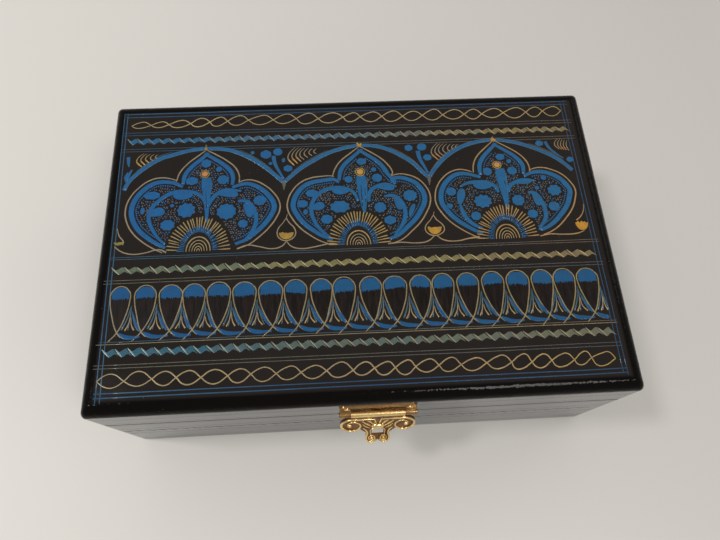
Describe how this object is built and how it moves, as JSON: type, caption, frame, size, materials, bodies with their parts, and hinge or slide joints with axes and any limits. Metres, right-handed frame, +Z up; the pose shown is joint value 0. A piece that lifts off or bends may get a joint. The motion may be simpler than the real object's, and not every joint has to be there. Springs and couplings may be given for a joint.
{
  "type": "jewellery box",
  "caption": "Rectangular lacquered box with a hinged lid, incised and coloured bands and arches on black, a velvet lining and a brass hasp latch on the front.",
  "frame": {"origin": "centre of the face that the box stands on", "axes": "+Z up, +X along the front from left to right, +Y from the front with the latch to the back with the hinges"},
  "size_m": [0.23, 0.1662, 0.08],
  "materials": {
    "lacquered_board": "gloss lacquer over papier mache board",
    "velvet": "short pile",
    "latch_brass": "polished",
    "hinge_brass": "polished",
    "nail_brass": "polished"
  },
  "bodies": {
    "base": {"base_front_wall": "lacquered_board", "base_back_wall": "lacquered_board", "base_left_wall": "lacquered_board", "base_right_wall": "lacquered_board", "base_bottom": "lacquered_board", "base_floor_lining": "velvet", "base_front_lining": "velvet", "base_back_lining": "velvet", "base_left_lining": "velvet", "base_right_lining": "velvet", "catch_plate": "latch_brass", "catch_plate_nails": "nail_brass", "left_hinge_base_leaf": "hinge_brass", "right_hinge_base_leaf": "hinge_brass", "left_hinge_pin": "hinge_brass", "right_hinge_pin": "hinge_brass", "base_hinge_nails": "nail_brass"},
    "lid": {"lid_panel": "lacquered_board", "lid_front_rail": "lacquered_board", "lid_back_rail": "lacquered_board", "lid_left_rail": "lacquered_board", "lid_right_rail": "lacquered_board", "lid_lining": "velvet", "latch_plate": "latch_brass", "latch_plate_nails": "nail_brass", "latch_pin": "latch_brass", "left_hinge_lid_leaf": "hinge_brass", "right_hinge_lid_leaf": "hinge_brass", "lid_hinge_nails": "nail_brass"},
    "hasp": {"hasp": "latch_brass"}
  },
  "joints": [
    {"name": "lid_hinge", "type": "hinge", "parent": "base", "child": "lid", "pos_m": [0, 0.0772, 0.05485], "axis": [-1, 0, 0], "range_deg": [0, 180]},
    {"name": "hasp_hinge", "type": "hinge", "parent": "lid", "child": "hasp", "pos_m": [0.0045, -0.0772, 0.066], "axis": [-1, 0, 0], "range_deg": [-12, 140]}
  ]
}
